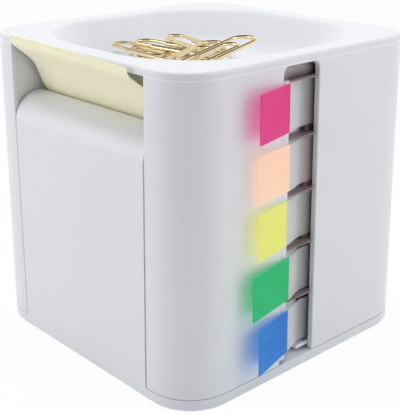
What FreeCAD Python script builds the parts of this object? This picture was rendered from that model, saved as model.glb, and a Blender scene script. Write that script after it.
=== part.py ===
import FreeCAD, Part
import math
import os

import Sketcher
from FreeCAD import Placement, Rotation, Vector

doc = FreeCAD.newDocument("memo_pad_holder")
sizes = doc.addObject("Spreadsheet::Sheet", "sizes")

# Driving sizes, in millimetres and degrees. +Z is up, -Y is the front, +X is the side with the flags.
DRIVING_SIZES = [
    # body
    ("base_width", 87.0),
    ("base_depth", 88.2),
    ("body_height", 86.0),
    ("draft_angle", 0.98),
    ("corner_radius", 13.4),
    ("shell_wall", 1.5),
    ("cut_room", 1.0),
    ("edge_radius", 0.35),
    ("seam_gap", 0.2),
    # the origin is the middle of the whole footprint, flags included, so the body sits to its left
    ("body_offset", 2.2),
    # drawer: base plate, front panel and rolled lip
    ("base_height", 3.75),
    ("base_bevel", 0.7),
    ("base_floor", 1.8),
    ("base_skirt", 2.0),
    ("opening_room", 0.3),
    ("panel_gap", 0.35),
    ("panel_thickness", 2.0),
    ("lip_drop", 23.2),
    ("lip_radius", 7.8),
    ("lip_sweep", 103.0),
    ("lip_end_radius", 0.9),
    # rubber pads under the base plate
    ("pad_radius", 5.0),
    ("pad_height", 1.4),
    ("pad_boss_wall", 1.2),
    ("pad_inset", 14.0),
    ("pad_proud", 0.4),
    # notes and the bin that holds them
    ("note_width", 50.0),
    ("note_gap", 1.0),
    ("note_front_room", 3.0),
    ("note_top_drop", 26.05),
    ("card_thickness", 1.2),
    ("bin_wall", 1.6),
    ("bin_top_drop", 24.75),
    ("bin_back_room", 1.25),
    ("bin_notch_width", 24.0),
    ("bin_notch_depth", 26.0),
    ("bin_groove_depth", 0.9),
    ("bin_groove_height", 1.7),
    ("sheet_thickness", 0.2),
    ("sheet_gap", 0.1),
    ("sheet_shift", 1.0),
    ("sheet_overhang", 1.6),
    ("sheet_rise", 0.9),
    # guide walls inside the shell, with the feet that run in the bin's grooves
    ("guide_gap", 0.7),
    ("guide_wall", 1.3),
    ("guide_drop", 12.6),
    ("guide_front_run", 4.0),
    ("guide_slope_run", 13.5),
    ("guide_foot_height", 1.2),
    ("slide_gap", 0.25),
    # flag slot in the right wall
    ("slot_width", 12.8),
    ("slot_offset", 4.6),
    ("slot_corner_radius", 2.0),
    ("slot_band", 0.5),
    # flag cartridge behind the slot
    ("guide_depth", 4.2),
    ("guide_radius", 7.0),
    ("guide_straight_start", -2.6),
    ("cartridge_wall", 1.0),
    ("cartridge_lift", 1.25),
    ("cartridge_back_room", 12.1),
    ("cartridge_top_drop", 5.8),
    ("cartridge_gap", 0.25),
    ("bay_foot_room", 1.2),
    # thin shelves that part the flag bays
    ("shelf_first", 21.8),
    ("shelf_thickness", 0.4),
    ("shelf_recess", 0.3),
    ("shelf_end_gap", 0.6),
    ("shelf_gap", 0.1),
    # flags
    ("flag_clearance", 2.2),
    ("film_thickness", 0.25),
    ("film_gap", 0.1),
    ("film_hold", 4.0),
    ("pack_end_room", 1.2),
    ("pack_thickness", 1.8),
    ("pack_start", -0.4),
    # each flag: lower edge over its bay's floor, and from the slot's front edge, where the film crosses
    # the wall's outer face and how far it reaches beyond
    ("pink_rise", 2.0),
    ("pink_crossing", 1.9),
    ("pink_reach", 11.9),
    ("peach_rise", 1.5),
    ("peach_crossing", 2.2),
    ("peach_reach", 11.9),
    ("yellow_rise", 1.5),
    ("yellow_crossing", 1.35),
    ("yellow_reach", 11.7),
    ("green_rise", 0.6),
    ("green_crossing", 2.7),
    ("green_reach", 13.5),
    ("blue_rise", 0.1),
    ("blue_crossing", 2.6),
    ("blue_reach", 12.3),
    # tray
    ("tray_rim_height", 1.74),
    ("tray_edge_radius", 0.7),
    ("dish_rim_width", 6.5),
    ("dish_corner_radius", 26.0),
    ("dish_depth", 10.0),
    ("dish_slope", 40.0),
    ("dish_floor_radius", 9.0),
    ("dish_rim_radius", 2.5),
    ("dish_wall", 1.9),
    ("tongue_depth", 3.0),
    ("tongue_wall", 1.2),
    ("tongue_gap", 0.25),
    # paper clips
    ("clip_wire", 1.0),
    ("clip_length", 30.0),
    ("clip_width", 7.8),
    ("clip_step", 1.15),
    ("clip_nose_room", 6.0),
    ("clip_tail", 5.0),
]

for row, (alias, value) in enumerate(DRIVING_SIZES, start=1):
    sizes.set(f"A{row}", alias)
    sizes.set(f"B{row}", str(value))
    sizes.setAlias(f"B{row}", alias)
doc.recompute()


def number(expression):
    """Value of an expression of the sheet's sizes."""
    result = sizes.evalExpression(expression)
    return float(getattr(result, "Value", result))


# Expressions that several pieces share.

def half_width(height):
    return f"(sizes.base_width / 2 - ({height}) * tan(sizes.draft_angle))"


def half_depth(height):
    return f"(sizes.base_depth / 2 - ({height}) * tan(sizes.draft_angle))"


def outline_radius(height):
    return f"(sizes.corner_radius - ({height}) * tan(sizes.draft_angle))"


SHELL_BOTTOM = "(sizes.base_height + sizes.seam_gap)"
SHELL_TOP = "(sizes.body_height - sizes.tray_rim_height)"
BIN_INNER_HALF = "(sizes.note_width / 2 + sizes.note_gap)"
BIN_OUTER_HALF = f"({BIN_INNER_HALF} + sizes.bin_wall)"
OPENING_HALF = f"({BIN_OUTER_HALF} + sizes.opening_room)"
PANEL_HALF = f"({OPENING_HALF} - sizes.panel_gap)"
LIP_START = "(sizes.body_height - sizes.lip_drop)"
BIN_TOP = "(sizes.body_height - sizes.bin_top_drop)"
BIN_BACK = f"({half_depth(BIN_TOP)} - sizes.shell_wall - sizes.bin_back_room - sizes.bin_wall)"
NOTE_FRONT = f"(-{half_depth(LIP_START)} + sizes.panel_thickness + sizes.note_front_room)"
NOTE_BOTTOM = "(sizes.base_height + sizes.card_thickness)"
NOTE_TOP = "(sizes.body_height - sizes.note_top_drop)"
GUIDE_TOP = "(sizes.body_height - sizes.guide_drop)"
GUIDE_INNER = f"({BIN_OUTER_HALF} + sizes.guide_gap)"
SLOT_FRONT = "(-sizes.slot_offset - sizes.slot_width / 2)"
SLOT_BACK = "(-sizes.slot_offset + sizes.slot_width / 2)"
CARTRIDGE_BOTTOM = "(sizes.base_height + sizes.cartridge_lift)"
CARTRIDGE_BACK = "(sizes.base_depth / 2 - sizes.cartridge_back_room)"
BAYS = 5
SHELF_PITCH = f"((sizes.body_height - sizes.cartridge_top_drop - sizes.shelf_first) / {BAYS - 1})"
BAY_FLOOR = f"({CARTRIDGE_BOTTOM} + sizes.cartridge_wall + sizes.bay_foot_room)"


# Helpers for bodies, sketches and features.

def set_across(feature, x="0"):
    """Places a feature across the object, x counted from the middle of the body."""
    feature.setExpression("Placement.Base.x", f"{x} - sizes.body_offset")


def new_body(name):
    body = doc.addObject("PartDesign::Body", name)
    body.Label = name
    set_across(body)
    return body


def new_sketch(body, name, role, offset=("0", "0", "0")):
    """Sketch on one of the body's own origin planes, moved by an offset in the plane's own axes."""
    sketch = body.newObject("Sketcher::SketchObject", name)
    plane = next(item for item in body.Origin.OriginFeatures if item.Role == role)
    sketch.AttachmentSupport = [(plane, "")]
    sketch.MapMode = "FlatFace"
    for axis, expression in zip("xyz", offset):
        if expression != "0":
            sketch.setExpression(f"AttachmentOffset.Base.{axis}", expression)
    return sketch


def add_named(sketch, name, expression, kind, *where):
    """Dimension constraint bound to an expression."""
    index = sketch.addConstraint(Sketcher.Constraint(kind, *where, number(expression)))
    sketch.renameConstraint(index, name)
    sketch.setExpression(f"Constraints.{name}", expression)


def pin_point(sketch, label, geometry, position, x, y):
    """Fixes a point of the sketch at the expressions x and y."""
    for axis, kind, expression, other_axis in (("x", "DistanceX", x, -2), ("y", "DistanceY", y, -1)):
        value = number(expression)
        name = f"{axis}_{label}"
        if abs(value) < 1e-9:
            sketch.addConstraint(Sketcher.Constraint("PointOnObject", geometry, position, other_axis))
        elif value > 0:
            add_named(sketch, name, expression, kind, -1, 1, geometry, position)
        else:
            add_named(sketch, name, f"-({expression})", kind, geometry, position, -1, 1)


def draw_polygon(sketch, points):
    """Closed outline through points given as pairs of expressions."""
    corners = [Vector(number(x), number(y), 0) for x, y in points]
    count = len(corners)
    first = sketch.GeometryCount
    for index, corner in enumerate(corners):
        sketch.addGeometry(Part.LineSegment(corner, corners[(index + 1) % count]), False)
    for index in range(count):
        line = first + index
        following = first + (index + 1) % count
        sketch.addConstraint(Sketcher.Constraint("Coincident", line, 2, following, 1))
    for index, (x, y) in enumerate(points):
        pin_point(sketch, f"{first + index}", first + index, 1, x, y)


def draw_rounded_rectangle(sketch, half_x, half_y, radius):
    """Rectangle centred on the sketch's origin, with four equal round corners."""
    a = number(half_x)
    b = number(half_y)
    r = number(radius)
    ends = [
        (Vector(-a + r, -b, 0), Vector(a - r, -b, 0)),
        (Vector(a, -b + r, 0), Vector(a, b - r, 0)),
        (Vector(a - r, b, 0), Vector(-a + r, b, 0)),
        (Vector(-a, b - r, 0), Vector(-a, -b + r, 0)),
    ]
    centres = [Vector(a - r, -b + r, 0), Vector(a - r, b - r, 0),
               Vector(-a + r, b - r, 0), Vector(-a + r, -b + r, 0)]
    for start, end in ends:
        sketch.addGeometry(Part.LineSegment(start, end), False)
    for index, centre in enumerate(centres):
        begin = math.radians(-90 + 90 * index)
        circle = Part.Circle(centre, Vector(0, 0, 1), r)
        sketch.addGeometry(Part.ArcOfCircle(circle, begin, begin + math.pi / 2), False)
    for index in range(4):
        arc = 4 + index
        sketch.addConstraint(Sketcher.Constraint("Tangent", index, 2, arc, 1))
        sketch.addConstraint(Sketcher.Constraint("Tangent", arc, 2, (index + 1) % 4, 1))
    for index in (0, 2):
        sketch.addConstraint(Sketcher.Constraint("Horizontal", index))
        sketch.addConstraint(Sketcher.Constraint("Vertical", index + 1))
    for arc in (5, 6, 7):
        sketch.addConstraint(Sketcher.Constraint("Equal", 4, arc))
    sketch.addConstraint(Sketcher.Constraint("Symmetric", 4, 3, 6, 3, -1, 1))
    add_named(sketch, "half_x", half_x, "DistanceX", -1, 1, 1, 1)
    add_named(sketch, "half_y", half_y, "DistanceY", -1, 1, 2, 1)
    add_named(sketch, "corner", radius, "Radius", 4)


def draw_circles(sketch, centres, radius):
    for index, (x, y) in enumerate(centres):
        circle = Part.Circle(Vector(number(x), number(y), 0), Vector(0, 0, 1), number(radius))
        sketch.addGeometry(circle, False)
        add_named(sketch, f"radius_{index}", radius, "Radius", index)
        pin_point(sketch, f"{index}", index, 3, x, y)


def extrude(body, kind, name, sketch, length, taper=None, backwards=False, both_ways=False):
    """Pad or Pocket of a sketch. taper is an expression in degrees, positive where it widens."""
    feature = body.newObject(f"PartDesign::{kind}", name)
    feature.Profile = sketch
    feature.setExpression("Length", length)
    feature.Reversed = backwards
    if both_ways:
        feature.SideType = "Symmetric"
    if taper is not None:
        feature.setExpression("TaperAngle", taper)
    sketch.Visibility = False
    doc.recompute()
    return feature


def edges_of(feature, wanted):
    """Names of the feature's edges whose bounding box passes a test."""
    names = []
    for index, edge in enumerate(feature.Shape.Edges, start=1):
        if wanted(edge.BoundBox):
            names.append(f"Edge{index}")
    return names


def dress(body, kind, name, base, edges, size):
    """Fillet or Chamfer on named edges."""
    feature = body.newObject(f"PartDesign::{kind}", name)
    feature.Base = (base, edges)
    feature.setExpression("Radius" if kind == "Fillet" else "Size", size)
    doc.recompute()
    body.Tip = feature
    return feature


def mirror(body, name, originals, role):
    plane = next(item for item in body.Origin.OriginFeatures if item.Role == role)
    feature = body.newObject("PartDesign::Mirrored", name)
    feature.Originals = originals
    feature.MirrorPlane = (plane, [""])
    body.Tip = feature
    doc.recompute()
    return feature


NEAR = 0.02


def level_with(height):
    """Test for edges that lie flat at a height."""
    def test(box):
        return abs(box.ZMin - height) < NEAR and abs(box.ZMax - height) < NEAR
    return test


# Shell: drafted wall open at the front, with two guide walls inside and the flag slot in its side.

def make_shell():
    body = new_body("shell")
    height = f"({SHELL_TOP} - {SHELL_BOTTOM})"
    inward = "-sizes.draft_angle"

    outer = new_sketch(body, "shell_outline", "XY_Plane", ("0", "0", SHELL_BOTTOM))
    draw_rounded_rectangle(outer, half_width(SHELL_BOTTOM), half_depth(SHELL_BOTTOM),
                           outline_radius(SHELL_BOTTOM))
    extrude(body, "Pad", "shell_block", outer, height, taper=inward)

    inner = new_sketch(body, "shell_cavity_outline", "XY_Plane", ("0", "0", SHELL_BOTTOM))
    draw_rounded_rectangle(inner, f"{half_width(SHELL_BOTTOM)} - sizes.shell_wall",
                           f"{half_depth(SHELL_BOTTOM)} - sizes.shell_wall",
                           f"{outline_radius(SHELL_BOTTOM)} - sizes.shell_wall")
    extrude(body, "Pocket", "shell_cavity", inner, f"{height} + sizes.cut_room", taper=inward, backwards=True)

    front_gap = new_sketch(body, "front_opening_outline", "XY_Plane", ("0", "0", SHELL_BOTTOM))
    far_front = "(-sizes.base_depth)"
    draw_polygon(front_gap, [(f"-{OPENING_HALF}", far_front), (OPENING_HALF, far_front),
                             (OPENING_HALF, "0"), (f"-{OPENING_HALF}", "0")])
    extrude(body, "Pocket", "front_opening", front_gap, f"{height} + sizes.cut_room", backwards=True)

    slot_top = f"({SHELL_TOP} - sizes.slot_band)"
    slot = new_sketch(body, "flag_slot_outline", "YZ_Plane")
    draw_slot(slot, SLOT_FRONT, SLOT_BACK, "sizes.base_height - sizes.cut_room", slot_top)
    extrude(body, "Pocket", "flag_slot", slot, "sizes.base_width", backwards=True)

    dress(body, "Fillet", "wall_end_rounds", body.Tip, edges_of(body.Tip, is_wall_end),
          "sizes.edge_radius")
    add_guide_walls(body)


def draw_slot(sketch, left, right, bottom, top):
    """Tall window with round top corners."""
    y0, y1, z0, z1 = number(left), number(right), number(bottom), number(top)
    r = number("sizes.slot_corner_radius")
    sketch.addGeometry(Part.LineSegment(Vector(y0, z0, 0), Vector(y1, z0, 0)), False)
    sketch.addGeometry(Part.LineSegment(Vector(y1, z0, 0), Vector(y1, z1 - r, 0)), False)
    right_arc = Part.ArcOfCircle(Part.Circle(Vector(y1 - r, z1 - r, 0), Vector(0, 0, 1), r),
                                 0, math.pi / 2)
    sketch.addGeometry(right_arc, False)
    sketch.addGeometry(Part.LineSegment(Vector(y1 - r, z1, 0), Vector(y0 + r, z1, 0)), False)
    left_arc = Part.ArcOfCircle(Part.Circle(Vector(y0 + r, z1 - r, 0), Vector(0, 0, 1), r),
                                math.pi / 2, math.pi)
    sketch.addGeometry(left_arc, False)
    sketch.addGeometry(Part.LineSegment(Vector(y0, z1 - r, 0), Vector(y0, z0, 0)), False)
    sketch.addConstraint(Sketcher.Constraint("Coincident", 0, 2, 1, 1))
    for before, after in ((1, 2), (2, 3), (3, 4), (4, 5)):
        sketch.addConstraint(Sketcher.Constraint("Tangent", before, 2, after, 1))
    sketch.addConstraint(Sketcher.Constraint("Coincident", 5, 2, 0, 1))
    sketch.addConstraint(Sketcher.Constraint("Vertical", 1))
    sketch.addConstraint(Sketcher.Constraint("Vertical", 5))
    sketch.addConstraint(Sketcher.Constraint("Equal", 2, 4))
    add_named(sketch, "corner", "sizes.slot_corner_radius", "Radius", 2)
    pin_point(sketch, "low_left", 0, 1, left, bottom)
    pin_point(sketch, "low_right", 0, 2, right, bottom)
    add_named(sketch, "top", top, "DistanceY", -1, 1, 3, 1)


def is_wall_end(box):
    """Long upright edges at the ends of the front wall and beside the flag slot, outside face."""
    tall = box.ZMax - box.ZMin > number("sizes.body_height") / 2
    front = abs(abs(box.XMin) - number(OPENING_HALF)) < NEAR
    outer_front = box.YMin < -number(f"{half_depth(SHELL_TOP)} - sizes.shell_wall / 2")
    beside_slot = (min(abs(box.YMin - number(SLOT_FRONT)), abs(box.YMin - number(SLOT_BACK))) < NEAR
                   and box.XMin > number(f"{half_width(SHELL_TOP)} - sizes.shell_wall / 2"))
    return tall and ((front and outer_front) or beside_slot)


def add_guide_walls(body):
    """Guide wall and its foot on the left, mirrored to the right."""
    front = f"(-{half_depth(SHELL_TOP)} + sizes.shell_wall / 2)"
    back = f"({half_depth(SHELL_TOP)} - sizes.shell_wall / 2)"
    slope_start = f"({front} + sizes.guide_front_run)"
    slope_end = f"({slope_start} + sizes.guide_slope_run)"
    wall = new_sketch(body, "guide_wall_outline", "YZ_Plane", ("0", "0", GUIDE_INNER))
    draw_polygon(wall, [(front, SHELL_BOTTOM), (back, SHELL_BOTTOM), (back, GUIDE_TOP),
                        (slope_end, GUIDE_TOP), (slope_start, SHELL_TOP), (front, SHELL_TOP)])
    wall_pad = extrude(body, "Pad", "guide_wall", wall, "sizes.guide_wall")

    foot_top = "(sizes.base_height + sizes.slide_gap + sizes.guide_foot_height)"
    foot = new_sketch(body, "guide_foot_outline", "YZ_Plane", ("0", "0", GUIDE_INNER))
    foot_front = f"({front} + sizes.shell_wall)"
    draw_polygon(foot, [(foot_front, SHELL_BOTTOM), (back, SHELL_BOTTOM), (back, foot_top),
                        (foot_front, foot_top)])
    foot_pad = extrude(body, "Pad", "guide_foot", foot,
                       "sizes.guide_gap + sizes.bin_groove_depth - sizes.slide_gap", backwards=True)
    mirror(body, "guide_walls_mirrored", [wall_pad, foot_pad], "YZ_Plane")


# Drawer: base plate and front panel in one moulding, with the lip rolled back over the notes.

def make_drawer():
    body = new_body("drawer")
    bottom = "sizes.pad_proud"
    plate = new_sketch(body, "base_outline", "XY_Plane", ("0", "0", bottom))
    draw_rounded_rectangle(plate, half_width(bottom), half_depth(bottom), outline_radius(bottom))
    extrude(body, "Pad", "base_plate", plate, "sizes.base_height - sizes.pad_proud",
            taper="-sizes.draft_angle")
    dress(body, "Chamfer", "base_bevel", body.Tip,
          edges_of(body.Tip, level_with(number(bottom))), "sizes.base_bevel")

    hollow = new_sketch(body, "base_hollow_outline", "XY_Plane", ("0", "0", bottom))
    draw_rounded_rectangle(hollow, f"{half_width(bottom)} - sizes.base_skirt",
                           f"{half_depth(bottom)} - sizes.base_skirt",
                           f"{outline_radius(bottom)} - sizes.base_skirt")
    extrude(body, "Pocket", "base_hollow", hollow,
            "sizes.base_height - sizes.pad_proud - sizes.base_floor", backwards=True)

    bosses = new_sketch(body, "boss_outlines", "XY_Plane", ("0", "0", "sizes.base_height - sizes.base_floor"))
    draw_circles(bosses, pad_centres(), "sizes.pad_radius + sizes.pad_boss_wall")
    extrude(body, "Pad", "pad_bosses", bosses,
            "sizes.base_height - sizes.base_floor - sizes.pad_proud", backwards=True)
    sockets = new_sketch(body, "pad_socket_outlines", "XY_Plane", ("0", "0", bottom))
    draw_circles(sockets, pad_centres(), "sizes.pad_radius")
    extrude(body, "Pocket", "pad_sockets", sockets, "sizes.pad_height - sizes.pad_proud", backwards=True)

    add_front_panel(body)
    return body


def pad_centres():
    x = "(sizes.base_width / 2 - sizes.pad_inset)"
    y = "(sizes.base_depth / 2 - sizes.pad_inset)"
    return [(x, y), (f"-{x}", y), (f"-{x}", f"-{y}"), (x, f"-{y}")]


def add_front_panel(body):
    low = "(sizes.base_height - sizes.base_floor / 2)"
    high = LIP_START
    panel = new_sketch(body, "panel_profile", "YZ_Plane")
    draw_polygon(panel, [
        (f"-{half_depth(low)}", low),
        (f"-{half_depth(low)} + sizes.panel_thickness", low),
        (f"-{half_depth(high)} + sizes.panel_thickness", high),
        (f"-{half_depth(high)}", high),
    ])
    extrude(body, "Pad", "front_panel", panel, f"2 * {PANEL_HALF}", both_ways=True)

    roll = new_sketch(body, "lip_section", "XY_Plane",
                      ("0", f"-{half_depth(high)} + sizes.lip_radius", high))
    outer = "(-sizes.lip_radius)"
    inner = "(-sizes.lip_radius + sizes.panel_thickness)"
    draw_polygon(roll, [(f"-{PANEL_HALF}", outer), (PANEL_HALF, outer), (PANEL_HALF, inner),
                        (f"-{PANEL_HALF}", inner)])
    lip = body.newObject("PartDesign::Revolution", "rolled_lip")
    lip.Profile = roll
    lip.ReferenceAxis = (roll, ["H_Axis"])
    lip.setExpression("Angle", "sizes.lip_sweep")
    lip.Reversed = True
    roll.Visibility = False
    doc.recompute()
    body.Tip = lip

    sweep = math.radians(number("sizes.lip_sweep"))
    centre_y = number(f"-{half_depth(high)} + sizes.lip_radius")
    centre_z = number(high)

    def is_lip_end(box):
        for radius in (number("sizes.lip_radius"), number("sizes.lip_radius - sizes.panel_thickness")):
            y = centre_y - radius * math.cos(sweep)
            z = centre_z + radius * math.sin(sweep)
            wide = box.XMax - box.XMin > number(PANEL_HALF)
            if wide and abs(box.YMin - y) < NEAR and abs(box.ZMin - z) < NEAR:
                return True
        return False

    dress(body, "Fillet", "lip_end_round", lip, edges_of(lip, is_lip_end), "sizes.lip_end_radius")


def make_foot_pads():
    body = new_body("foot_pads")
    outline = new_sketch(body, "foot_pad_outlines", "XY_Plane")
    draw_circles(outline, pad_centres(), "sizes.pad_radius")
    extrude(body, "Pad", "foot_pad_discs", outline, "sizes.pad_height")
    return body


# Note bin: two sides and a back, standing on the base plate behind the front panel.

def make_note_bin():
    body = new_body("note_bin")
    front = f"(-{half_depth(LIP_START)} + sizes.panel_thickness + sizes.panel_gap)"
    back_out = f"({BIN_BACK} + sizes.bin_wall)"
    plan = new_sketch(body, "bin_plan", "XY_Plane", ("0", "0", "sizes.base_height"))
    draw_polygon(plan, [
        (f"-{BIN_OUTER_HALF}", front), (f"-{BIN_INNER_HALF}", front),
        (f"-{BIN_INNER_HALF}", BIN_BACK), (BIN_INNER_HALF, BIN_BACK),
        (BIN_INNER_HALF, front), (BIN_OUTER_HALF, front),
        (BIN_OUTER_HALF, back_out), (f"-{BIN_OUTER_HALF}", back_out),
    ])
    extrude(body, "Pad", "bin_walls", plan, f"{BIN_TOP} - sizes.base_height")

    grooves = new_sketch(body, "groove_outlines", "XZ_Plane")
    outer = f"({BIN_OUTER_HALF} + sizes.cut_room)"
    inner = f"({BIN_OUTER_HALF} - sizes.bin_groove_depth)"
    top = "(sizes.base_height + sizes.bin_groove_height)"
    low = "(sizes.base_height - sizes.cut_room)"
    draw_polygon(grooves, [(inner, low), (outer, low), (outer, top), (inner, top)])
    draw_polygon(grooves, [(f"-{inner}", low), (f"-{outer}", low), (f"-{outer}", top), (f"-{inner}", top)])
    extrude(body, "Pocket", "foot_grooves", grooves, "2 * sizes.base_depth", both_ways=True)

    notch = new_sketch(body, "thumb_notch_outline", "YZ_Plane")
    draw_thumb_notch(notch)
    extrude(body, "Pocket", "thumb_notches", notch, "sizes.base_width", both_ways=True)
    return body


def draw_thumb_notch(sketch):
    """U-shaped notch open at the top of the bin."""
    r = number("sizes.bin_notch_width / 2")
    top = f"({BIN_TOP} + sizes.cut_room)"
    arc_height = f"({BIN_TOP} - sizes.bin_notch_depth + sizes.bin_notch_width / 2)"
    z_top = number(top)
    z_arc = number(arc_height)
    sketch.addGeometry(Part.LineSegment(Vector(r, z_top, 0), Vector(-r, z_top, 0)), False)
    sketch.addGeometry(Part.LineSegment(Vector(-r, z_top, 0), Vector(-r, z_arc, 0)), False)
    arc = Part.ArcOfCircle(Part.Circle(Vector(0, z_arc, 0), Vector(0, 0, 1), r), math.pi, 2 * math.pi)
    sketch.addGeometry(arc, False)
    sketch.addGeometry(Part.LineSegment(Vector(r, z_arc, 0), Vector(r, z_top, 0)), False)
    sketch.addConstraint(Sketcher.Constraint("Coincident", 0, 2, 1, 1))
    sketch.addConstraint(Sketcher.Constraint("Tangent", 1, 2, 2, 1))
    sketch.addConstraint(Sketcher.Constraint("Tangent", 2, 2, 3, 1))
    sketch.addConstraint(Sketcher.Constraint("Coincident", 3, 2, 0, 1))
    sketch.addConstraint(Sketcher.Constraint("Horizontal", 0))
    sketch.addConstraint(Sketcher.Constraint("Vertical", 1))
    sketch.addConstraint(Sketcher.Constraint("Vertical", 3))
    sketch.addConstraint(Sketcher.Constraint("PointOnObject", 2, 3, -2))
    add_named(sketch, "radius", "sizes.bin_notch_width / 2", "Radius", 2)
    add_named(sketch, "top", top, "DistanceY", -1, 1, 0, 1)
    add_named(sketch, "arc_height", arc_height, "DistanceY", -1, 1, 2, 3)


# Tray: rim plate with a scooped dish, a thin wall of even thickness under it, and a locating tongue.

def make_top_tray():
    body = new_body("top_tray")
    taper_in = "-sizes.dish_slope"
    rim = new_sketch(body, "rim_outline", "XY_Plane", ("0", "0", SHELL_TOP))
    draw_rounded_rectangle(rim, half_width(SHELL_TOP), half_depth(SHELL_TOP), outline_radius(SHELL_TOP))
    extrude(body, "Pad", "rim_plate", rim, "sizes.tray_rim_height", taper="-sizes.draft_angle")
    dress(body, "Fillet", "rim_edge", body.Tip,
          edges_of(body.Tip, level_with(number("sizes.body_height"))), "sizes.tray_edge_radius")

    dish_x = f"({half_width('sizes.body_height')} - sizes.dish_rim_width)"
    dish_y = f"({half_depth('sizes.body_height')} - sizes.dish_rim_width)"
    grow = ("(sizes.dish_wall / cos(sizes.dish_slope)"
            " - sizes.tray_rim_height * tan(sizes.dish_slope))")
    under = new_sketch(body, "dish_underside_outline", "XY_Plane", ("0", "0", SHELL_TOP))
    draw_rounded_rectangle(under, f"{dish_x} + {grow}", f"{dish_y} + {grow}",
                           f"sizes.dish_corner_radius + {grow}")
    extrude(body, "Pad", "dish_underside", under,
            "sizes.dish_depth + sizes.dish_wall - sizes.tray_rim_height", taper=taper_in, backwards=True)
    floor_under = number("sizes.body_height - sizes.dish_depth - sizes.dish_wall")
    dress(body, "Fillet", "dish_underside_round", body.Tip,
          edges_of(body.Tip, level_with(floor_under)), "sizes.dish_floor_radius + sizes.dish_wall")

    dish = new_sketch(body, "dish_outline", "XY_Plane", ("0", "0", "sizes.body_height"))
    draw_rounded_rectangle(dish, dish_x, dish_y, "sizes.dish_corner_radius")
    extrude(body, "Pocket", "dish", dish, "sizes.dish_depth", taper=taper_in)
    dress(body, "Fillet", "dish_floor_round", body.Tip,
          edges_of(body.Tip, level_with(number("sizes.body_height - sizes.dish_depth"))),
          "sizes.dish_floor_radius")
    inside_rim = number(f"{half_width('sizes.body_height')} - sizes.dish_rim_width / 2")

    def is_dish_rim(box):
        flat = level_with(number("sizes.body_height"))(box)
        return flat and box.XMax < inside_rim and box.XMin > -inside_rim

    dress(body, "Fillet", "dish_rim_round", body.Tip, edges_of(body.Tip, is_dish_rim),
          "sizes.dish_rim_radius")
    add_tongue(body)
    return body


def add_tongue(body):
    """Tongue under the rim that drops inside the shell's back and side walls."""
    out_x = f"({half_width(SHELL_TOP)} - sizes.shell_wall - sizes.tongue_gap)"
    out_y = f"({half_depth(SHELL_TOP)} - sizes.shell_wall - sizes.tongue_gap)"
    out_r = f"({outline_radius(SHELL_TOP)} - sizes.shell_wall - sizes.tongue_gap)"
    x_start = f"({out_x} - {out_r})"
    y_start = f"({out_y} - {out_r})"
    inner_y = f"({out_y} - sizes.tongue_wall)"
    back = new_sketch(body, "back_tongue_outline", "XY_Plane", ("0", "0", SHELL_TOP))
    draw_polygon(back, [(f"-{x_start}", inner_y), (x_start, inner_y), (x_start, out_y),
                        (f"-{x_start}", out_y)])
    extrude(body, "Pad", "back_tongue", back, "sizes.tongue_depth", backwards=True)
    inner_x = f"({out_x} - sizes.tongue_wall)"
    side = new_sketch(body, "left_tongue_outline", "XY_Plane", ("0", "0", SHELL_TOP))
    draw_polygon(side, [(f"-{out_x}", f"-{y_start}"), (f"-{inner_x}", f"-{y_start}"),
                        (f"-{inner_x}", y_start), (f"-{out_x}", y_start)])
    extrude(body, "Pad", "left_tongue", side, "sizes.tongue_depth", backwards=True)


# Parts that lean with the right wall: local x points out of the wall, local z runs up along it.

def lean_with_wall(feature):
    feature.Placement.Rotation = Rotation(Vector(0, 1, 0), -number("sizes.draft_angle"))
    set_across(feature, "sizes.base_width / 2")


def shelf_top(bay):
    """Height of the shelf over a bay. The bays count up from the lowest, which has no shelf below it."""
    return f"(sizes.shelf_first + ({bay} - 1) * {SHELF_PITCH})"


def make_flag_cartridge():
    """Back plate with the flag packs on it. In the slot it curves forward and ends in a narrow flange."""
    s = number
    bottom = s(CARTRIDGE_BOTTOM)
    tall = s(shelf_top(BAYS)) - bottom
    depth = s("sizes.guide_depth")
    radius = s("sizes.guide_radius")
    wall = s("sizes.cartridge_wall")
    recess = s("sizes.shelf_recess")
    bend_y = s("sizes.guide_straight_start")
    slot_front = s(SLOT_FRONT) + s("sizes.cartridge_gap")
    reach = s(CARTRIDGE_BACK)
    centre = Vector(-depth + radius, bend_y, bottom)

    inner = Part.makeCylinder(radius, tall, centre)
    outer = Part.makeCylinder(radius + wall, tall, centre)
    window = Part.makeBox(depth + wall - recess, bend_y - slot_front, tall,
                          Vector(-depth - wall, slot_front, bottom))
    scoop = outer.cut(inner).common(window)
    guide_end = bend_y - math.sqrt(radius ** 2 - (centre.x + recess) ** 2)
    flange = Part.makeBox(wall, guide_end - slot_front, tall, Vector(-recess - wall, slot_front, bottom))
    plate = Part.makeBox(wall, reach - bend_y, tall, Vector(-depth - wall, bend_y, bottom))
    inside = -s("sizes.shell_wall") - s("sizes.cartridge_gap")
    rear_wall = Part.makeBox(depth + inside, wall, tall, Vector(-depth, reach - wall, bottom))
    foot = Part.makeBox(depth + inside, reach - bend_y, wall, Vector(-depth, bend_y, bottom))
    feature = doc.addObject("Part::Feature", "flag_cartridge")
    feature.Label = "flag_cartridge"
    feature.Shape = scoop.fuse([flange, plate, rear_wall, foot]).removeSplitter()
    lean_with_wall(feature)


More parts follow.
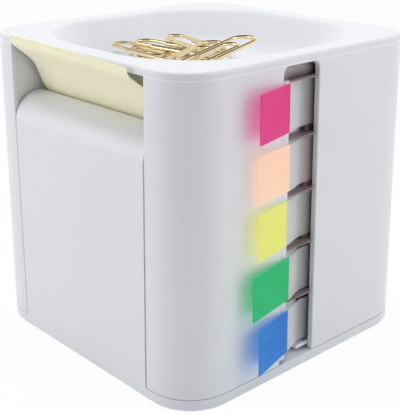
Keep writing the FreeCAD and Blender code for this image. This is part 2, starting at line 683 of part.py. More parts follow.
def make_flag_shelves():
    """Thin shelves over the bays, straight along the wall in front and curved along the guide behind."""
    s = number
    depth = s("sizes.guide_depth") - s("sizes.shelf_gap")
    bend_y = s("sizes.guide_straight_start")
    radius = s("sizes.guide_radius") - s("sizes.shelf_gap")
    front = -s("sizes.shelf_recess")
    inside = -s("sizes.shell_wall") - s("sizes.cartridge_gap")
    slot_front = s(SLOT_FRONT) + s("sizes.cartridge_gap")
    slot_back = s(SLOT_BACK) - s("sizes.shelf_end_gap")
    rear = s(CARTRIDGE_BACK) - s("sizes.cartridge_wall") - s("sizes.shelf_gap")
    thickness = s("sizes.shelf_thickness")
    shelves = []
    for bay in range(1, BAYS + 1):
        low = s(shelf_top(bay)) - thickness
        arc_floor = Part.makeCylinder(radius, thickness, Vector(-depth + radius, bend_y, low))
        curved = Part.makeBox(depth + front, bend_y - slot_front, thickness,
                              Vector(-depth, slot_front, low)).common(arc_floor)
        tongue = Part.makeBox(depth + front, slot_back - bend_y, thickness, Vector(-depth, bend_y, low))
        behind = Part.makeBox(depth + inside, rear - bend_y, thickness, Vector(-depth, bend_y, low))
        shelves.append(curved.fuse([tongue, behind]).removeSplitter())
    feature = doc.addObject("Part::Feature", "flag_shelves")
    feature.Label = "flag_shelves"
    feature.Shape = Part.makeCompound(shelves)
    lean_with_wall(feature)


# Curves are turned into arcs that stay within this part of a sheet's thickness.
CURVE_PARTS = 4


def make_strip(name, edges, thickness, sweep):
    """Strip of even thickness on a smooth path, as wide as the sweep vector is long."""
    path = Part.Wire(edges)
    section = path.makeOffset2D(thickness, 0, True, True, False)
    feature = doc.addObject("Part::Feature", name)
    feature.Label = name
    feature.Shape = section.extrude(sweep)
    return feature


# Flags: colour, bay and lean off the wall in degrees.
FLAGS = [
    ("pink", 5, 14.6),
    ("peach", 4, 9.8),
    ("yellow", 3, 12.7),
    ("green", 2, 10.8),
    ("blue", 1, 15.5),
]


def bay_floor(bay):
    """Top of the shelf below, or the room over the cartridge's foot under the first bay."""
    return BAY_FLOOR if bay == 1 else shelf_top(bay - 1)


def flag_height(bay):
    return f"({shelf_top(bay)} - {bay_floor(bay)} - sizes.shelf_thickness - sizes.flag_clearance)"


def film_edges(floor, crossing, reach, lean):
    """Line over the pack, easy bend towards the wall's outer face and straight tip beyond it."""
    s = number
    face = s("sizes.pack_thickness - sizes.guide_depth + sizes.film_gap")
    bend_start = Vector(face, s("sizes.pack_start"), floor)
    out = Vector(0, s(SLOT_FRONT) + crossing, floor)
    along = Vector(math.sin(lean), -math.cos(lean), 0)
    span = bend_start.distanceToPoint(out)
    bend = Part.BSplineCurve()
    bend.interpolate(Points=[bend_start, out], Tangents=[Vector(0, -span, 0), along * span],
                     TangentFlags=[True, True])
    tip = out + along * ((out.y - s(SLOT_FRONT) + reach) / math.cos(lean))
    hold = Vector(0, s("sizes.film_hold"), 0)
    tolerance = s("sizes.film_thickness") / CURVE_PARTS
    arcs = [arc.toShape() for arc in bend.toBiArcs(tolerance)]
    return [Part.makeLine(bend_start + hold, bend_start), *arcs, Part.makeLine(out, tip)]


def make_flag(colour, bay, lean):
    """Film from the face of its pack out through the slot, flat from the wall on."""
    floor = number(f"{bay_floor(bay)} + sizes.{colour}_rise")
    crossing = number(f"sizes.{colour}_crossing")
    reach = number(f"sizes.{colour}_reach")
    edges = film_edges(floor, crossing, reach, math.radians(lean))
    outward = -number("sizes.film_thickness")
    flag = make_strip(f"flag_{colour}", edges, outward, Vector(0, 0, number(flag_height(bay))))
    lean_with_wall(flag)


def make_flag_pack(colour, bay):
    s = number
    name = f"flag_pack_{colour}"
    feature = doc.addObject("Part::Box", name)
    feature.Label = name
    feature.setExpression("Length", "sizes.pack_thickness")
    feature.setExpression("Width", f"{CARTRIDGE_BACK} - sizes.pack_end_room - sizes.pack_start")
    feature.setExpression("Height", flag_height(bay))
    turn = Rotation(Vector(0, 1, 0), -s("sizes.draft_angle"))
    corner = Vector(-s("sizes.guide_depth"), s("sizes.pack_start"), s(bay_floor(bay)))
    base = Vector(s("sizes.base_width / 2 - sizes.body_offset"), 0, 0) + turn.multVec(corner)
    feature.Placement = Placement(base, turn)


# Notes: card, block and the sheet that is half pulled out.

def make_box(name, low, size):
    """Box with its low corner and its three sizes given as expressions."""
    feature = doc.addObject("Part::Box", name)
    feature.Label = name
    for prop, expression in zip(("Length", "Width", "Height"), size):
        feature.setExpression(prop, expression)
    set_across(feature, low[0])
    for axis, expression in zip("yz", low[1:]):
        feature.setExpression(f"Placement.Base.{axis}", expression)


def make_notes():
    left = "-sizes.note_width / 2"
    length = f"({BIN_BACK} - sizes.note_gap - {NOTE_FRONT})"
    make_box("backing_card", (left, NOTE_FRONT, "sizes.base_height"),
             ("sizes.note_width", length, "sizes.card_thickness"))
    make_box("note_block", (left, NOTE_FRONT, NOTE_BOTTOM),
             ("sizes.note_width", length, f"{NOTE_TOP} - {NOTE_BOTTOM}"))


# Side view of the sheet. From its end on the block to the lip: parts of the block's length and of the
# height up to the lip. Beyond the lip: parts of the way forward and of the rise to the free edge.
SHEET_END = 0.76
SHEET_RISE = [(0.40, 0.0), (0.36, 0.0), (0.24, 0.10), (0.12, 0.53)]
SHEET_CURL = [(0.22, 0.285), (0.36, 0.50), (0.53, 0.62), (0.75, 0.745), (0.94, 0.86), (1.0, 1.0)]


def make_note_sheet():
    """Sheet that lies on the block, rises behind the lip and leans out past the tray's front edge."""
    s = number
    x = s("-sizes.note_width / 2 - sizes.sheet_shift")
    gap = s("sizes.sheet_gap")
    block_top = s(NOTE_TOP) + gap
    length = s(f"{BIN_BACK} - sizes.note_gap - {NOTE_FRONT}")
    sweep = math.radians(s("sizes.lip_sweep"))
    radius = s("sizes.lip_radius")
    lip_y = s(f"-{half_depth(LIP_START)} + sizes.lip_radius") - radius * math.cos(sweep) + 2 * gap
    lip_z = s(LIP_START) + radius * math.sin(sweep)
    forward = s(f"-{half_depth('sizes.body_height')} - sizes.sheet_overhang") - lip_y
    rise = s("sizes.body_height + sizes.sheet_rise") - lip_z
    low = lip_z - block_top
    path = []
    for part_back, part_rise in SHEET_RISE:
        path.append(Vector(x, s(NOTE_FRONT) + part_back * length, block_top + part_rise * low))
    path.append(Vector(x, lip_y, lip_z))
    for part_forward, part_rise in SHEET_CURL:
        path.append(Vector(x, lip_y + part_forward * forward, lip_z + part_rise * rise))
    curve = Part.BSplineCurve()
    curve.interpolate(path)
    tolerance = s("sizes.sheet_thickness") / CURVE_PARTS
    edges = [Part.makeLine(Vector(x, s(NOTE_FRONT) + SHEET_END * length, block_top), path[0])]
    edges += [arc.toShape() for arc in curve.toBiArcs(tolerance)]
    sheet = make_strip("note_sheet", edges, s("sizes.sheet_thickness"), Vector(s("sizes.note_width"), 0, 0))
    set_across(sheet)


# Paper clips, from the floor of the dish up. The middle of each as parts of the dish's half sizes and
# in wire sizes over the floor, then heading, pitch and roll in degrees.
CLIPS = [
    ((-0.215, -0.051, 0.55), 8.0, 0.0, 0.0),
    ((-0.385, 0.133, 1.62), 40.0, 0.0, 0.0),
    ((-0.253, -0.045, 2.69), 22.0, 0.0, 0.0),
    ((-0.356, -0.247, 3.76), -3.0, 0.0, 0.0),
    ((-0.202, -0.091, 4.83), 6.0, 0.0, 0.0),
    ((-0.071, 0.009, 5.92), -12.0, 0.0, 0.0),
    ((0.353, -0.373, 7.15), 112.0, -2.0, 0.0),
    ((0.589, -0.362, 8.72), 102.0, -6.0, 0.0),
]


def make_clip(middle, heading, pitch, roll):
    """Round wire bent to three nested loops, as one solid."""
    s = number
    wire = s("sizes.clip_wire")
    half = s("sizes.clip_length") / 2
    outer = (s("sizes.clip_width") - wire) / 2
    step = s("sizes.clip_step")
    tail = outer - step / 2
    nose = tail - step / 2
    start = Vector(-s("sizes.clip_tail"), -outer, 0)
    turns = [
        (Vector(half - outer, 0, 0), outer, 1),
        (Vector(-half + outer, step / 2, 0), tail, -1),
        (Vector(half - outer - s("sizes.clip_nose_room"), 0, 0), nose, 1),
    ]
    edges = []
    here = start
    for centre, radius, side in turns:
        rising = 1 if here.y < centre.y else -1
        first = centre - Vector(0, radius * rising, 0)
        last = centre + Vector(0, radius * rising, 0)
        edges.append(Part.makeLine(here, first))
        edges.append(Part.Arc(first, centre + Vector(radius * side, 0, 0), last).toShape())
        here = last
    edges.append(Part.makeLine(here, Vector(-s("sizes.clip_tail"), here.y, 0)))
    section = Part.Wire(Part.makeCircle(wire / 2, start, Vector(1, 0, 0)))
    clip = Part.Wire(edges).makePipeShell([section], True, False)
    turn = (Rotation(Vector(0, 0, 1), heading) * Rotation(Vector(0, 1, 0), pitch)
            * Rotation(Vector(1, 0, 0), roll))
    clip.Placement = Placement(Vector(
        middle[0] * s(f"{half_width('sizes.body_height')} - sizes.dish_rim_width"),
        middle[1] * s(f"{half_depth('sizes.body_height')} - sizes.dish_rim_width"),
        middle[2] * wire + s("sizes.body_height - sizes.dish_depth")), turn)
    return clip


def make_paper_clips():
    feature = doc.addObject("Part::Feature", "paper_clips")
    feature.Label = "paper_clips"
    feature.Shape = Part.makeCompound([make_clip(*clip) for clip in CLIPS])
    set_across(feature)


make_shell()
make_drawer()
make_foot_pads()
make_note_bin()
make_top_tray()
make_flag_cartridge()
make_flag_shelves()
for colour, bay, *shape_of_film in FLAGS:
    make_flag(colour, bay, *shape_of_film)
    make_flag_pack(colour, bay)
make_notes()
make_note_sheet()
make_paper_clips()
doc.recompute()

NODES = ["shell", "top_tray", "drawer", "foot_pads", "note_bin", "backing_card", "note_block",
         "note_sheet", "flag_cartridge", "flag_shelves", "paper_clips"]
NODES += [f"flag_{flag[0]}" for flag in FLAGS]
NODES += [f"flag_pack_{flag[0]}" for flag in FLAGS]

for item in doc.Objects:
    if "Invalid" in item.State or "Error" in item.State:
        raise RuntimeError(f"{item.Label} is in state {item.State}")

os.makedirs("parts", exist_ok=True)
for name in NODES:
    shape = doc.getObjectsByLabel(name)[0].Shape
    if shape.isNull() or not shape.isValid():
        raise RuntimeError(f"{name} has no valid shape")
    shape.exportStep(f"parts/{name}.step")
    box = shape.BoundBox
    print(f"{name}: {len(shape.Solids)} solids, {shape.Volume:.1f} mm3, "
          f"x {box.XMin:.2f} {box.XMax:.2f} y {box.YMin:.2f} {box.YMax:.2f} z {box.ZMin:.2f} {box.ZMax:.2f}")
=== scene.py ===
import math

import bmesh
import bpy
from mathutils import Matrix, Vector


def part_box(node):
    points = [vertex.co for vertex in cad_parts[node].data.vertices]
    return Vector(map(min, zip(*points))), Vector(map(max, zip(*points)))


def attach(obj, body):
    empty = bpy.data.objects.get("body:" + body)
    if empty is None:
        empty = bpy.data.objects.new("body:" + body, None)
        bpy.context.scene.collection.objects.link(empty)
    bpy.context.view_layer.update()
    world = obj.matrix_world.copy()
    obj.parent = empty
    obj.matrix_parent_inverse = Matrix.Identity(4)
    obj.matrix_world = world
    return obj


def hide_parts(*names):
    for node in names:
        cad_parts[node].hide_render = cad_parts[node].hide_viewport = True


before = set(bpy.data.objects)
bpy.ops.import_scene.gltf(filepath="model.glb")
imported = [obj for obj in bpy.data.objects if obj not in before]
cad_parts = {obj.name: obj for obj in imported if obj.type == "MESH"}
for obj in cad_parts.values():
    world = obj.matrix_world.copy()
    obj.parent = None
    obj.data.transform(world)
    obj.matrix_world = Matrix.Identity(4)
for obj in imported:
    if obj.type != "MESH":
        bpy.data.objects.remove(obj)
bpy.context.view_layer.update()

MM = 0.001


# Middle of the body from side to side, and the front edge of the flag slot.

shell_low, shell_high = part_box("shell")
BODY_X = (shell_low.x + shell_high.x) / 2
SLOT_FRONT_Y = -11.0 * MM


# Camera, fitted to the outline of the body. Target and distance in metres, angles in degrees, lens and
# sensor in mm.

TARGET = Vector((BODY_X + 17.93 * MM, -16.22 * MM, 43.26 * MM))
DISTANCE = 241.47 * MM
AZIMUTH = 47.70
ELEVATION = 20.66
ROLL = -0.18
LENS = 78.79
SENSOR_WIDTH = 36.0
NEAREST = 10 * MM


def place_camera():
    """Camera that looks at the target from its bearing and height, with a slight roll."""
    azimuth, elevation = math.radians(AZIMUTH), math.radians(ELEVATION)
    back = Vector((math.cos(elevation) * math.sin(azimuth),
                   -math.cos(elevation) * math.cos(azimuth), math.sin(elevation)))
    right = Vector((0, 0, 1)).cross(back).normalized()
    up = back.cross(right)
    turned = Matrix.Rotation(math.radians(ROLL), 3, back)
    right, up = turned @ right, turned @ up
    data = bpy.data.cameras.new("camera")
    data.sensor_width = SENSOR_WIDTH
    data.lens = LENS
    data.clip_start = NEAREST
    camera = bpy.data.objects.new("camera", data)
    camera.matrix_world = Matrix((
        (right.x, up.x, back.x, 0), (right.y, up.y, back.y, 0), (right.z, up.z, back.z, 0), (0, 0, 0, 1)))
    camera.location = TARGET + back * DISTANCE
    bpy.context.scene.collection.objects.link(camera)
    bpy.context.scene.camera = camera


# Material helpers.

# Most of a noise lies between these.
NOISE_LOW = 0.3
NOISE_HIGH = 0.7


def new_material(name):
    material = bpy.data.materials.new(name)
    material.use_nodes = True
    material.node_tree.nodes.clear()
    return material


class Nodes:
    """Short way to add and link the nodes of one material, or of the world."""

    def __init__(self, owner):
        self.tree = owner.node_tree

    def add(self, kind, inputs=(), **settings):
        node = self.tree.nodes.new(kind)
        for key, value in settings.items():
            setattr(node, key, value)
        for key, value in dict(inputs).items():
            if isinstance(value, bpy.types.NodeSocket):
                self.tree.links.new(value, node.inputs[key])
            else:
                node.inputs[key].default_value = value
        return node

    def noise(self, scale, detail, stretch=(1, 1, 1)):
        """Factor of a noise in object space, with its scale in cycles a metre."""
        place = self.add("ShaderNodeTexCoord").outputs["Object"]
        mapping = self.add("ShaderNodeMapping", {"Vector": place, "Scale": stretch})
        texture = self.add("ShaderNodeTexNoise", {
            "Vector": mapping.outputs["Vector"], "Scale": scale, "Detail": detail})
        return texture.outputs["Fac"]

    def ranged(self, factor, low, high):
        """Value that follows a noise from low to high."""
        node = self.add("ShaderNodeMapRange", {
            "Value": factor, "From Min": NOISE_LOW, "From Max": NOISE_HIGH, "To Min": low, "To Max": high})
        return node.outputs["Result"]

    def mixed(self, factor, first, second):
        """Mix of two colours, each a socket or a value."""
        node = self.add("ShaderNodeMix", data_type="RGBA")
        for socket, value in zip((node.inputs["Factor"], node.inputs[6], node.inputs[7]),
                                 (factor, first, second)):
            if isinstance(value, bpy.types.NodeSocket):
                self.tree.links.new(value, socket)
            else:
                socket.default_value = value
        return node.outputs[2]

    def shaders(self, factor, first, second):
        """Mix of two shaders."""
        return self.add("ShaderNodeMixShader", {0: factor, 1: first, 2: second}).outputs[0]

    def calculate(self, operation, first, second):
        """Result of a calculation with two numbers, each a socket or a value."""
        return self.add("ShaderNodeMath", {0: first, 1: second}, operation=operation).outputs[0]

    def coordinate(self, axis):
        """Place in the object along X, Y or Z."""
        place = self.add("ShaderNodeTexCoord").outputs["Object"]
        return self.add("ShaderNodeSeparateXYZ", {"Vector": place}).outputs[axis]

    def light_path(self, kind):
        """1 for a ray of this kind, else 0."""
        return self.add("ShaderNodeLightPath").outputs[kind]

    def transparent(self, inputs=()):
        return self.add("ShaderNodeBsdfTransparent", inputs).outputs[0]

    def translucent(self, color):
        return self.add("ShaderNodeBsdfTranslucent", {"Color": color}).outputs[0]

    def emission(self, inputs):
        return self.add("ShaderNodeEmission", inputs).outputs[0]

    def bump(self, height, strength, distance):
        node = self.add("ShaderNodeBump", {"Height": height, "Strength": strength, "Distance": distance})
        return node.outputs["Normal"]

    def principled(self, inputs):
        return self.add("ShaderNodeBsdfPrincipled", inputs).outputs["BSDF"]

    def finish(self, shader):
        self.add("ShaderNodeOutputMaterial", {"Surface": shader})


def srgb(red, green, blue):
    """Linear colour of an sRGB value from 0 to 255."""
    def linear(value):
        part = value / 255
        return part / 12.92 if part <= 0.04045 else ((part + 0.055) / 1.055) ** 2.4
    return (linear(red), linear(green), linear(blue), 1.0)


# Materials.

# Height of a painted highlight: a pale line along the shell's top edge under the lid.
HIGHLIGHT_BAND = 0.32 * MM


def white_plastic(name, top_edge=None):
    """Satin moulded plastic: very fine grain, faint flow variation, and a painted highlight along a thin top
    edge.
    """
    material = new_material(name)
    n = Nodes(material)
    flow = n.noise(40, 3)
    grain = n.noise(2600, 2)
    color = n.mixed(flow, srgb(236, 238, 242), srgb(230, 233, 238))
    if top_edge is not None:
        # Painted highlight: a thin paler band at the top of the shell stands for the catch-light on its edge.
        edge = n.calculate("GREATER_THAN", n.coordinate("Z"), top_edge - HIGHLIGHT_BAND)
        color = n.mixed(edge, color, srgb(246, 249, 255))
    n.finish(n.principled({
        "Base Color": color,
        "Roughness": n.ranged(grain, 0.30, 0.40),
        "Normal": n.bump(grain, 0.12, 0.02 * MM),
    }))
    return material


def rubber(name):
    """Dark matt rubber with a fine grain."""
    material = new_material(name)
    n = Nodes(material)
    grain = n.noise(1500, 3)
    n.finish(n.principled({
        "Base Color": n.mixed(grain, srgb(58, 58, 60), srgb(82, 82, 84)),
        "Roughness": n.ranged(grain, 0.7, 0.85),
        "Normal": n.bump(grain, 0.3, 0.05 * MM),
    }))
    return material


def paper(name, light, dark, across=(1, 1, 1)):
    """Uncoated paper: fibres, and cut edges where across stretches them into layers."""
    material = new_material(name)
    n = Nodes(material)
    fibres = n.noise(900, 4, stretch=across)
    n.finish(n.principled({
        "Base Color": n.mixed(fibres, light, dark),
        "Roughness": n.ranged(fibres, 0.85, 0.95),
        "Normal": n.bump(fibres, 0.25, 0.02 * MM),
    }))
    return material


# Share of a sheet's light that crosses it, and strength of a painted glow that lifts the sheet where it lies
# in shade.
PAPER_THROUGH = 0.2
PAPER_GLOW = 0.05


def thin_paper(name, light, dark):
    """Single sheet of paper that lets some light through, with a faint painted glow."""
    material = new_material(name)
    n = Nodes(material)
    fibres = n.noise(900, 4)
    tint = n.mixed(fibres, light, dark)
    front = n.principled({
        "Base Color": tint,
        "Roughness": n.ranged(fibres, 0.85, 0.95),
        "Normal": n.bump(fibres, 0.25, 0.02 * MM),
    })
    sheet = n.shaders(PAPER_THROUGH, front, n.translucent(tint))
    # Painted glow: the sheet emits a little light of its own colour.
    painted_glow = n.emission({"Color": tint, "Strength": PAPER_GLOW})
    n.finish(n.add("ShaderNodeAddShader", {0: sheet, 1: painted_glow}).outputs[0])
    return material


# Painted shade, two tones each: dark grey-brown on the shelves between the flag bays, lighter on the plate
# over them.
SHELF_PAINTED_SHADE = (srgb(140, 122, 125), srgb(126, 110, 113))
PLATE_PAINTED_SHADE = (srgb(186, 174, 178), srgb(176, 164, 168))


def shade_painted_plastic(name, shades):
    """Plastic with a fine grain, painted grey-brown for the shade inside the flag slot."""
    material = new_material(name)
    n = Nodes(material)
    grain = n.noise(2200, 2)
    n.finish(n.principled({
        "Base Color": n.mixed(grain, *shades),
        "Roughness": n.ranged(grain, 0.42, 0.52),
    }))
    return material


def brass_wire(name):
    """Polished brass, a little uneven from drawing."""
    material = new_material(name)
    n = Nodes(material)
    drawn = n.noise(700, 2)
    n.finish(n.principled({
        "Base Color": n.mixed(drawn, srgb(250, 234, 192), srgb(240, 216, 166)),
        "Metallic": 1.0,
        "Roughness": n.ranged(drawn, 0.10, 0.16),
    }))
    return material


# Flags: colour, a deeper shade of it, the colour of the imported stems darkened as painted shade for the dark
# slot, and where the print starts behind the slot's front edge, in mm.
FLAGS = {
    "pink": (srgb(232, 62, 146), srgb(222, 48, 134), srgb(104, 76, 88), 1.9),
    "peach": (srgb(255, 226, 204), srgb(254, 218, 192), srgb(146, 104, 104), 2.2),
    "yellow": (srgb(240, 240, 138), srgb(234, 234, 122), srgb(112, 104, 86), 1.35),
    "green": (srgb(4, 196, 124), srgb(2, 188, 116), srgb(84, 94, 98), 2.7),
    "blue": (srgb(4, 132, 216), srgb(2, 122, 208), srgb(62, 72, 90), 2.6),
}
# Strength of a painted glow: the ink emits light of its own colour, brightening the flags and the wall beside
# them.
INK_GLOW = 0.16

# Share of a film's colour that comes through from behind, and of the stem that is frosted, not clear.
FILM_THROUGH = 0.4
STEM_COVER = 0.8

# Share of the light that crosses a film as it is lit, and share of white in what the ink lets through.
LIGHT_PASSED = 0.75
WHITE_PASSED = 0.2

# Painted shade: the stems look clear up to the first of these places and from the second have this share
# of the pack's colour, darkened for the shade deep in the slot.
STEM_CLEAR_Y = SLOT_FRONT_Y + 6.5 * MM
STEM_SHADE_Y = SLOT_FRONT_Y + 14.5 * MM
STEM_SHADE_SHARE = 0.8


def lighter(color, share):
    """A colour with a share of white in it."""
    return tuple(part + share * (1 - part) for part in color[:3]) + (1.0,)


def film(name, color, deep, shaded_stem, edge_y):
    """Thin film: printed in a bright, glowing ink beyond a line across it, frosted stem darkened with painted
    shade towards the pack.
    """
    material = new_material(name)
    n = Nodes(material)
    y = n.coordinate("Y")
    printed = n.calculate("LESS_THAN", y, edge_y)
    streaks = n.noise(300, 2)
    tint = n.mixed(streaks, color, deep)
    satin = n.principled({"Base Color": tint, "Roughness": n.ranged(streaks, 0.36, 0.44)})
    ink = n.shaders(FILM_THROUGH, satin, n.translucent(tint))
    # Painted glow: the ink emits a little light of its own colour.
    glow = n.emission({"Color": tint, "Strength": INK_GLOW})
    bright = n.add("ShaderNodeAddShader", {0: ink, 1: glow}).outputs[0]

    # Painted shade: the frosted stem darkens towards the pack, for the shade inside the slot.
    inward = n.add("ShaderNodeMapRange", {
        "Value": y, "From Min": STEM_CLEAR_Y, "From Max": STEM_SHADE_Y, "To Max": STEM_SHADE_SHARE}).outputs["Result"]
    frost = n.mixed(inward, n.mixed(streaks, srgb(244, 245, 244), srgb(236, 238, 237)), shaded_stem)
    matt = n.principled({"Base Color": frost, "Roughness": n.ranged(streaks, 0.4, 0.5)})
    frosted = n.shaders(FILM_THROUGH, matt, n.translucent(frost))
    clear = n.shaders(STEM_COVER, n.transparent(), frosted)
    faces = n.shaders(printed, clear, bright)

    # Light crosses the film once, at its outer face, and takes the ink's colour with it.
    passed = n.transparent({"Color": n.mixed(printed, srgb(226, 227, 226), lighter(color, WHITE_PASSED))})
    lit = n.calculate("MULTIPLY", n.light_path("Is Shadow Ray"), LIGHT_PASSED)
    outer = n.shaders(lit, faces, passed)
    inside = n.add("ShaderNodeNewGeometry").outputs["Backfacing"]
    n.finish(n.shaders(inside, outer, n.transparent()))
    return material


# Darker layers of a pack, as a share of the stems' shaded colour.
PACK_SHADE = 0.6


def film_pack(name, shaded_stem):
    """Edges of a pack of clear stems, in fine layers of two shades, in the stems' colour darkened as painted
    shade.
    """
    material = new_material(name)
    n = Nodes(material)
    layers = n.noise(1200, 3, stretch=(6, 1, 1))
    dark = tuple(PACK_SHADE * part for part in shaded_stem[:3]) + (1.0,)
    n.finish(n.principled({
        "Base Color": n.mixed(layers, shaded_stem, dark),
        "Roughness": n.ranged(layers, 0.35, 0.5),
    }))
    return material


def dress(node, material):
    """Give a node of the frame its material."""
    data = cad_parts[node].data
    data.materials.clear()
    data.materials.append(material)


def dress_all():
    """Give every node that shows its material."""
    for node in ("top_tray", "drawer", "note_bin", "flag_cartridge"):
        dress(node, white_plastic(f"{node}_plastic"))
    dress("shell", white_plastic("shell_plastic", top_edge=shell_high.z))
    # Painted shade: the shelves are dark grey-brown for the shade between the flag bays.
    dress("flag_shelves", shade_painted_plastic("shelf_plastic", SHELF_PAINTED_SHADE))
    dress("foot_pads", rubber("pad_rubber"))
    dress("backing_card", paper("card", srgb(164, 156, 142), srgb(148, 140, 126)))
    dress("note_block", paper("note_paper", srgb(240, 236, 204), srgb(226, 221, 186), (0.2, 0.2, 12)))
    dress("paper_clips", brass_wire("clip_brass"))
    for name, (color, deep, shaded_stem, print_start) in FLAGS.items():
        dress(f"flag_{name}", film(f"film_{name}", color, deep, shaded_stem, SLOT_FRONT_Y + print_start * MM))
        dress(f"flag_pack_{name}", film_pack(f"pack_{name}", shaded_stem))


# Pieces that the scene makes.

# Right wall's outer face at floor level, from the middle of the body, and its lean inwards by height.
WALL_X = 43.5 * MM
WALL_LEAN = math.tan(math.radians(0.98))

# Plate behind the slot's top, over the highest shelf. Seen from above it runs from its front end straight to
# the bend, eases inwards there, and runs straight to its back end. Depths are behind the wall's outer face.
PLATE_FRONT_DEPTH = 1.8 * MM
PLATE_BACK_DEPTH = 2.7 * MM
PLATE_FRONT_Y = -12.4 * MM
PLATE_BEND_Y = (-9.5 * MM, -4.0 * MM)
PLATE_BACK_Y = 5.5 * MM
PLATE_THICKNESS = 0.4 * MM
PLATE_GAP_BELOW = 0.05 * MM
PLATE_GAP_ABOVE = 0.1 * MM
BEND_STEPS = 14

# A face of the plate whose normal rises less than this is one of its walls, and those shade smoothly.
WALL_RISE = 0.5


def add_piece(name, bm, body, material):
    """Object of a mesh that rides on a body."""
    mesh = bpy.data.meshes.new(name)
    bmesh.ops.recalc_face_normals(bm, faces=bm.faces)
    bm.to_mesh(mesh)
    bm.free()
    mesh.materials.append(material)
    piece = bpy.data.objects.new(name, mesh)
    bpy.context.scene.collection.objects.link(piece)
    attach(piece, body)
    return piece


def plate_path():
    """Depth behind the wall and place front to back, from the plate's front end to its back end."""
    front, back = PLATE_BEND_Y
    points = [(PLATE_FRONT_DEPTH, PLATE_FRONT_Y)]
    for step in range(BEND_STEPS + 1):
        part = step / BEND_STEPS
        eased = part * part * (3 - 2 * part)
        depth = PLATE_FRONT_DEPTH + (PLATE_BACK_DEPTH - PLATE_FRONT_DEPTH) * eased
        points.append((depth, front + (back - front) * part))
    points.append((PLATE_BACK_DEPTH, PLATE_BACK_Y))
    return points


def make_slot_guide():
    """Thin plate, painted grey-brown for shade, that closes the top of the flag slot above the highest shelf.
    """
    low_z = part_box("flag_shelves")[1].z + PLATE_GAP_BELOW
    high_z = shell_high.z - PLATE_GAP_ABOVE
    corners = ((low_z, 0), (high_z, 0), (high_z, PLATE_THICKNESS), (low_z, PLATE_THICKNESS))
    bm = bmesh.new()
    rings = []
    for depth, y in plate_path():
        ring = []
        for z, behind in corners:
            x = BODY_X + WALL_X - WALL_LEAN * z - depth - behind
            ring.append(bm.verts.new((x, y, z)))
        rings.append(ring)
    for first, second in zip(rings, rings[1:]):
        for side in range(4):
            corner = (side + 1) % 4
            bm.faces.new((first[side], first[corner], second[corner], second[side]))
    bm.faces.new(rings[0])
    bm.faces.new(rings[-1])
    plate = add_piece("slot_guide_top", bm, "housing", shade_painted_plastic("guide_plastic", PLATE_PAINTED_SHADE))
    for face in plate.data.polygons:
        face.use_smooth = abs(face.normal.z) < WALL_RISE


# Sag of the sheet's free right corner, how fast it grows across the sheet and up from the lip, and how
# finely the sheet is cut across for it.
SHEET_SAG = 1.25 * MM
SAG_ACROSS = 1.6
SAG_UP = 1.5
SHEET_CUTS = 12

# Edges sharper than this, in degrees, stay crisp on the sheet.
SHEET_CREASE = 30


def make_sheet():
    """The sheet as the frame has it, with its free end sagging towards the right corner."""
    low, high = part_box("note_sheet")
    lip_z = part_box("drawer")[1].z
    bm = bmesh.new()
    bm.from_mesh(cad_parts["note_sheet"].data)
    for cut in range(1, SHEET_CUTS):
        x = low.x + (high.x - low.x) * cut / SHEET_CUTS
        bmesh.ops.bisect_plane(bm, geom=bm.verts[:] + bm.edges[:] + bm.faces[:],
                               plane_co=(x, 0, 0), plane_no=(1, 0, 0))
    for vertex in bm.verts:
        across = (vertex.co.x - low.x) / (high.x - low.x)
        up = max(0.0, (vertex.co.z - lip_z) / (high.z - lip_z))
        vertex.co.z -= SHEET_SAG * across ** SAG_ACROSS * up ** SAG_UP
    sheet = add_piece("note_sheet_sagging", bm, "drawer", thin_paper(
        "sheet_paper", srgb(253, 250, 226), srgb(249, 245, 218)))
    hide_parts("note_sheet")
    for face in sheet.data.polygons:
        face.use_smooth = True
    sheet.data.set_sharp_from_angle(angle=math.radians(SHEET_CREASE))


# Studio: pale floor and world, a soft box beyond each visible side and one above.

# Floor's side in metres, and the share of its brightness that is its own where it is seen: the rest shows
# the object's shadow.
FLOOR_SIZE = 4.0
FLOOR_GLOW = 0.96


def make_floor():
    """Pale floor, white where it is seen apart from the object's shadow."""
    bpy.ops.mesh.primitive_plane_add(size=FLOOR_SIZE)
    floor = bpy.context.object
    floor.name = "floor"
    material = new_material("floor_paper")
    n = Nodes(material)
    glassy = n.calculate("MAXIMUM", n.light_path("Is Glossy Ray"), n.light_path("Is Transmission Ray"))
    seen = n.calculate("MAXIMUM", n.light_path("Is Camera Ray"), glassy)
    weight = n.calculate("MULTIPLY", seen, FLOOR_GLOW)
    tone = n.mixed(n.noise(30, 2), srgb(250, 250, 251), srgb(246, 246, 248))
    matt = n.add("ShaderNodeBsdfDiffuse", {"Color": tone}).outputs[0]
    n.finish(n.shaders(weight, matt, n.emission({"Strength": 1.0})))
    floor.data.materials.append(material)


# Strength of the world: its fill for matt surfaces, and in mirrored light white up to the first of these
# heights and dim from the second. A height is the upward part of the direction, from 0 to 1.
AMBIENT = 0.25
MIRRORED_WHITE_TO = 0.40
MIRRORED_DIM_FROM = 0.62
MIRRORED_DIM = 0.10


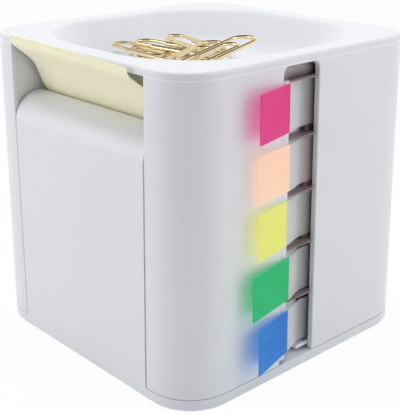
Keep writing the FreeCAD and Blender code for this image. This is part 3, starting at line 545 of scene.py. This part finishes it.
def make_world():
    """White to the camera, a low fill for the light, and in mirrored light white below and dim overhead."""
    world = bpy.data.worlds.new("studio")
    world.use_nodes = True
    world.node_tree.nodes.clear()
    n = Nodes(world)
    seen = n.calculate("MAXIMUM", n.light_path("Is Camera Ray"), n.light_path("Is Transmission Ray"))
    direction = n.add("ShaderNodeTexCoord").outputs["Generated"]
    height = n.add("ShaderNodeSeparateXYZ", {"Vector": direction}).outputs["Z"]
    mirrored = n.add("ShaderNodeMapRange", {
        "Value": height, "From Min": MIRRORED_WHITE_TO, "From Max": MIRRORED_DIM_FROM,
        "To Min": 1.0, "To Max": MIRRORED_DIM}).outputs["Result"]
    glossy = n.light_path("Is Glossy Ray")
    shiny = n.add("ShaderNodeMix", {"Factor": glossy, "A": AMBIENT, "B": mirrored}).outputs["Result"]
    strength = n.add("ShaderNodeMix", {"Factor": seen, "A": shiny, "B": 1.0}).outputs["Result"]
    background = n.add("ShaderNodeBackground", {"Color": (1.0, 1.0, 1.0, 1.0), "Strength": strength})
    n.add("ShaderNodeOutputWorld", {"Surface": background.outputs[0]})
    bpy.context.scene.world = world


# A soft box at this height in degrees or above isn't mirrored in the clips.
OVERHEAD = 60.0

# Soft boxes: bearing and height as seen from the lit middle in degrees, distance and size in metres, power
# in watts.
LIT_HEIGHT = 45 * MM
SOFT_BOXES = [
    ("left_box", -34.0, 18.0, 0.60, 0.50, 1.36),
    ("right_box", 124.0, 18.0, 0.60, 0.50, 1.12),
    ("top_box", -140.0, 81.0, 0.60, 0.60, 3.0),
]


def make_lights():
    """Square soft boxes that face the middle of the body."""
    middle = Vector((BODY_X, 0, LIT_HEIGHT))
    for name, bearing, height, distance, size, power in SOFT_BOXES:
        data = bpy.data.lights.new(name, "AREA")
        data.shape = "SQUARE"
        data.size = size
        data.energy = power
        light = bpy.data.objects.new(name, data)
        around, up = math.radians(bearing), math.radians(height)
        away = Vector((math.sin(around) * math.cos(up), -math.cos(around) * math.cos(up), math.sin(up)))
        light.location = middle + away * distance
        light.rotation_euler = away.to_track_quat("Z", "Y").to_euler()
        light.visible_glossy = height < OVERHEAD
        bpy.context.scene.collection.objects.link(light)


bpy.context.scene.view_settings.view_transform = "Standard"

place_camera()
dress_all()
make_slot_guide()
make_sheet()
make_floor()
make_world()
make_lights()
